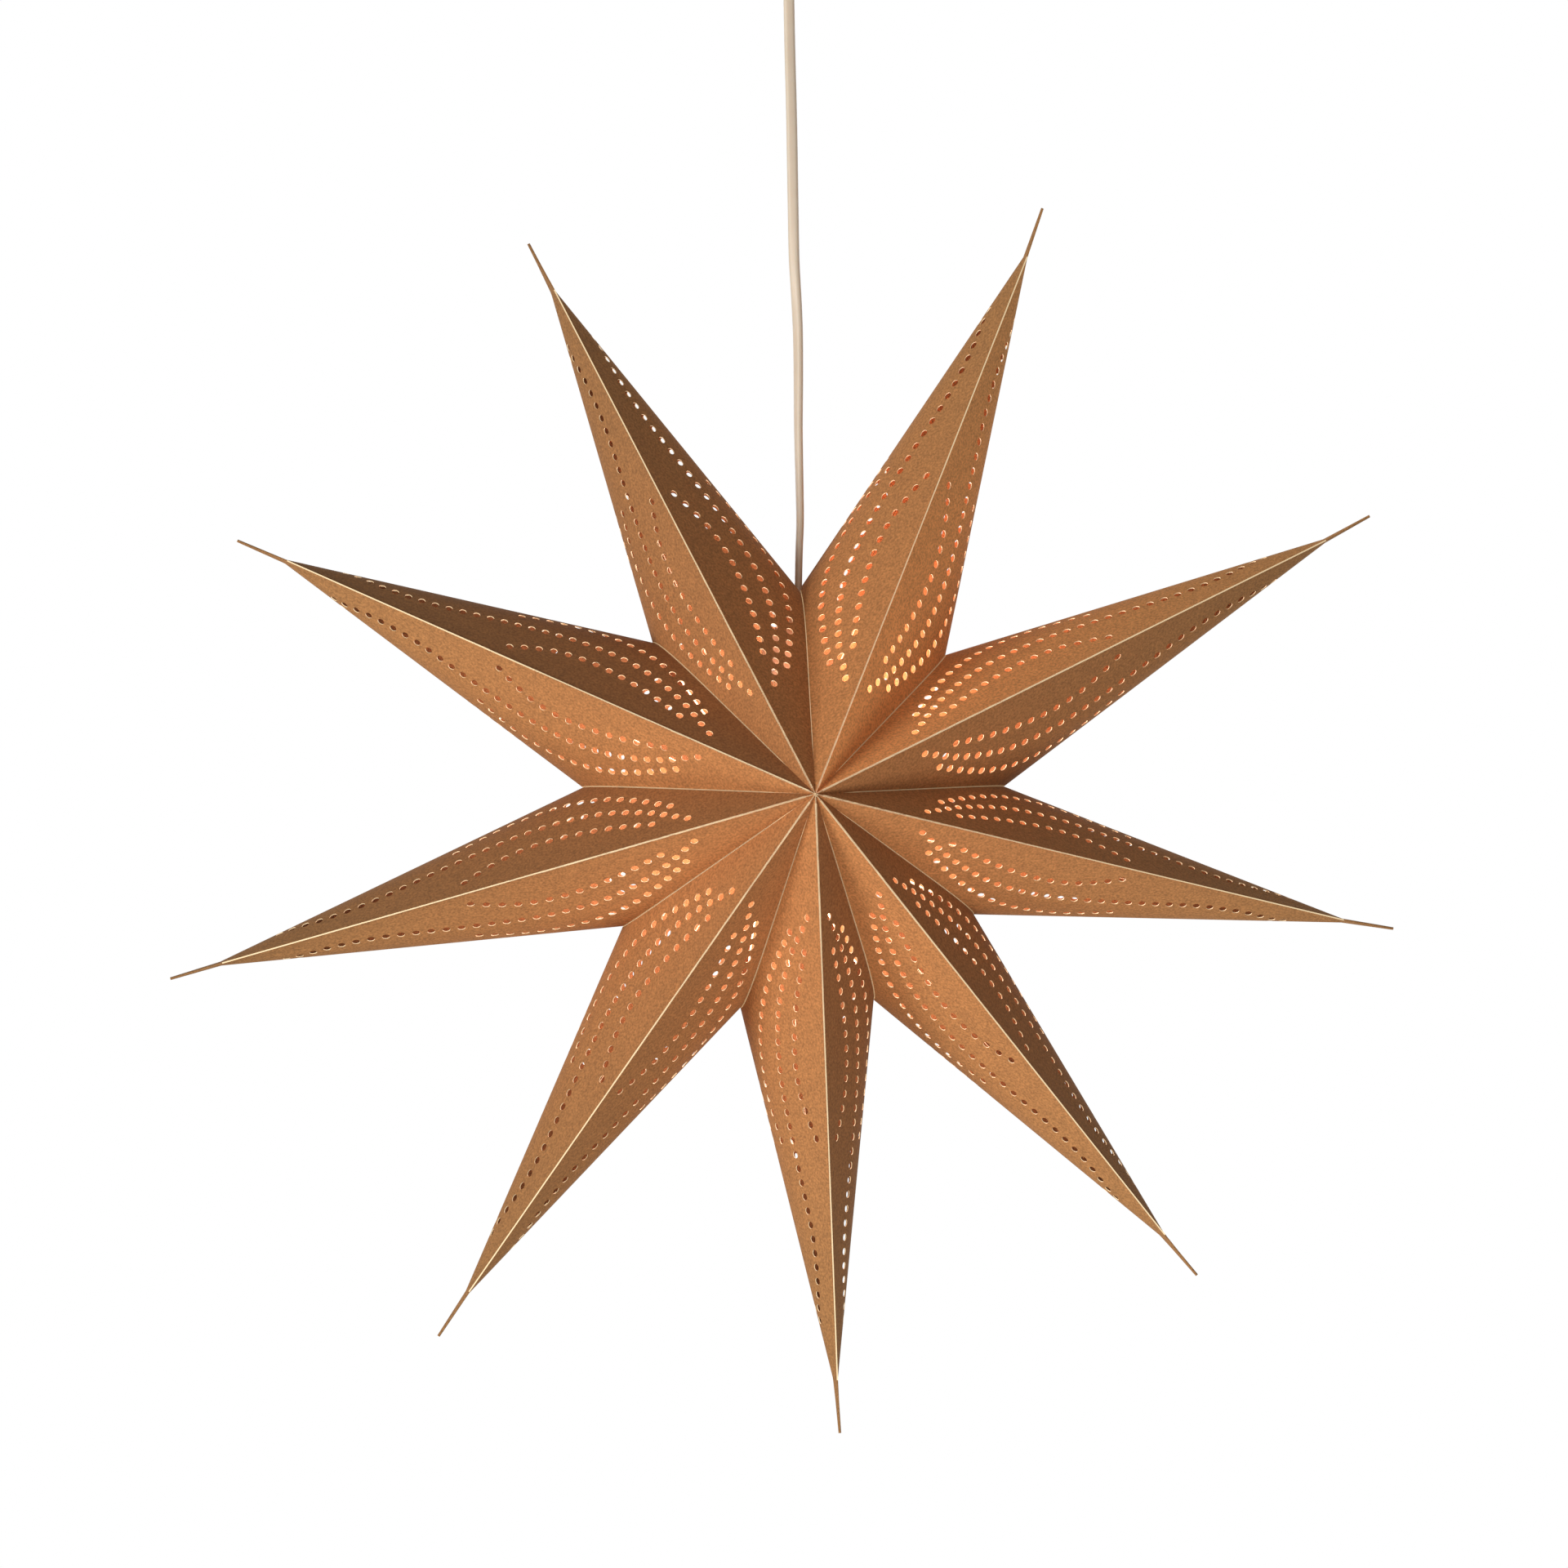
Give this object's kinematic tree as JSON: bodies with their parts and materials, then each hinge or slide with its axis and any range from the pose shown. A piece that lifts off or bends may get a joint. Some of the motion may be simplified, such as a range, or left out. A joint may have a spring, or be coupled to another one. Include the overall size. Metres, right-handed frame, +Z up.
{
  "type": "paper star lantern",
  "caption": "Hanging star of folded, perforated kraft card points that closes round a small screw bulb, on a flat flex from a swivelling ceiling cup.",
  "frame": {"origin": "middle of the mounting strap's upper face, which lies on the ceiling; the part hangs below it", "axes": "+Z up, out of the strap into the ceiling; the star's front faces -Y, and +X is to the right of someone who looks at that front"},
  "size_m": [0.5832, 0.1766, 0.7489],
  "materials": {
    "kraft_card": "matt brown handmade card with a fine mottled fibre, cream along the folds",
    "closure_black": "hook-and-loop tape",
    "zinc_steel": "zinc plated",
    "cup_cream": "moulded, satin",
    "nylon_cream": "moulded nylon",
    "block_white": "moulded",
    "contact_brass": "stamped",
    "core_blue": "core insulation",
    "core_brown": "core insulation",
    "flex_cream": "off-white flat twin flex",
    "holder_white": "moulded, satin",
    "insert_ceramic": "pressed, unglazed",
    "bulb_metal": "rolled screw cap",
    "bulb_insulator": "black glass",
    "bulb_glass": "pearl glass, lit",
    "stem_glass": "clear",
    "filament": "glowing wire"
  },
  "bodies": {
    "ceiling_fitting": {"ceiling_strap": "zinc_steel", "ceiling_cup": "cup_cream", "cup_screw_left": "zinc_steel", "cup_screw_right": "zinc_steel", "terminal_block": "block_white", "terminal_screw_blue": "contact_brass", "terminal_screw_brown": "contact_brass", "core_blue": "core_blue", "core_brown": "core_brown"},
    "swivel_ring": {"swivel_ring": "nylon_cream"},
    "pendant": {"cord_grip": "nylon_cream", "grip_screw": "zinc_steel", "cord": "flex_cream", "cord_nipple": "nylon_cream", "holder_cap": "holder_white", "holder_skirt": "holder_white", "socket_insert": "insert_ceramic", "screw_shell": "contact_brass", "centre_contact": "contact_brass", "ray_5": "kraft_card"},
    "bulb_tip": {"bulb_tip": "bulb_metal"},
    "bulb": {"bulb_cap": "bulb_metal", "bulb_insulator": "bulb_insulator", "bulb_glass": "bulb_glass", "bulb_stem": "stem_glass", "bulb_filament": "filament"},
    "ray_1": {"ray_1": "kraft_card", "closure_loop_front": "closure_black", "closure_loop_back": "closure_black"},
    "ray_2": {"ray_2": "kraft_card"},
    "ray_3": {"ray_3": "kraft_card"},
    "ray_4": {"ray_4": "kraft_card"},
    "ray_6": {"ray_6": "kraft_card"},
    "ray_7": {"ray_7": "kraft_card"},
    "ray_8": {"ray_8": "kraft_card"},
    "ray_9": {"ray_9": "kraft_card", "closure_hook_front": "closure_black", "closure_hook_back": "closure_black"}
  },
  "joints": [
    {"name": "swivel", "type": "hinge", "parent": "ceiling_fitting", "child": "swivel_ring", "pos_m": [0, 0, -0.036], "axis": [0, 0, 1], "range_deg": [-150, 150], "stiffness_Nm_per_rad": 0.005},
    {"name": "swing", "type": "hinge", "parent": "swivel_ring", "child": "pendant", "pos_m": [0, 0, -0.036], "axis": [1, 0, 0], "range_deg": [-15, 15]},
    {"name": "star_fold", "type": "hinge", "parent": "pendant", "child": "ray_9", "pos_m": [0.0024, 0, -0.45], "axis": [0, -1, 0], "range_deg": [0, 151.4], "deforming": ["ray_1", "ray_2", "ray_3", "ray_4", "ray_5", "ray_6", "ray_7", "ray_8", "ray_9"]},
    {"name": "ray_8_fold", "type": "hinge", "parent": "pendant", "child": "ray_8", "pos_m": [0.0024, 0, -0.45], "axis": [0, -1, 0], "range_deg": [0, 113.8]},
    {"name": "ray_7_fold", "type": "hinge", "parent": "pendant", "child": "ray_7", "pos_m": [0.0024, 0, -0.45], "axis": [0, -1, 0], "range_deg": [0, 74.8]},
    {"name": "ray_6_fold", "type": "hinge", "parent": "pendant", "child": "ray_6", "pos_m": [0.0024, 0, -0.45], "axis": [0, -1, 0], "range_deg": [0, 36.3]},
    {"name": "ray_1_fold", "type": "hinge", "parent": "pendant", "child": "ray_1", "pos_m": [0.0024, 0, -0.45], "axis": [0, 1, 0], "range_deg": [0, 146]},
    {"name": "ray_2_fold", "type": "hinge", "parent": "pendant", "child": "ray_2", "pos_m": [0.0024, 0, -0.45], "axis": [0, 1, 0], "range_deg": [0, 107.1]},
    {"name": "ray_3_fold", "type": "hinge", "parent": "pendant", "child": "ray_3", "pos_m": [0.0024, 0, -0.45], "axis": [0, 1, 0], "range_deg": [0, 70.8]},
    {"name": "ray_4_fold", "type": "hinge", "parent": "pendant", "child": "ray_4", "pos_m": [0.0024, 0, -0.45], "axis": [0, 1, 0], "range_deg": [0, 34.9]},
    {"name": "bulb_travel", "type": "slide", "parent": "pendant", "child": "bulb_tip", "axis": [0, 0, -1], "range_m": [0, 0.0142]},
    {"name": "bulb_turn", "type": "hinge", "parent": "bulb_tip", "child": "bulb", "pos_m": [0.00426, 0, -0.42], "axis": [0, 0, -1], "range_deg": [0, 1800]}
  ],
  "couplings": [
    {"joint": "ray_8_fold", "follows": "star_fold", "ratio": 0.7503},
    {"joint": "ray_7_fold", "follows": "star_fold", "ratio": 0.4927},
    {"joint": "ray_6_fold", "follows": "star_fold", "ratio": 0.2384},
    {"joint": "ray_1_fold", "follows": "star_fold", "ratio": 0.963},
    {"joint": "ray_2_fold", "follows": "star_fold", "ratio": 0.7061},
    {"joint": "ray_3_fold", "follows": "star_fold", "ratio": 0.4663},
    {"joint": "ray_4_fold", "follows": "star_fold", "ratio": 0.2292},
    {"joint": "bulb_travel", "follows": "bulb_turn", "m_per_rad": 0.00044882}
  ]
}
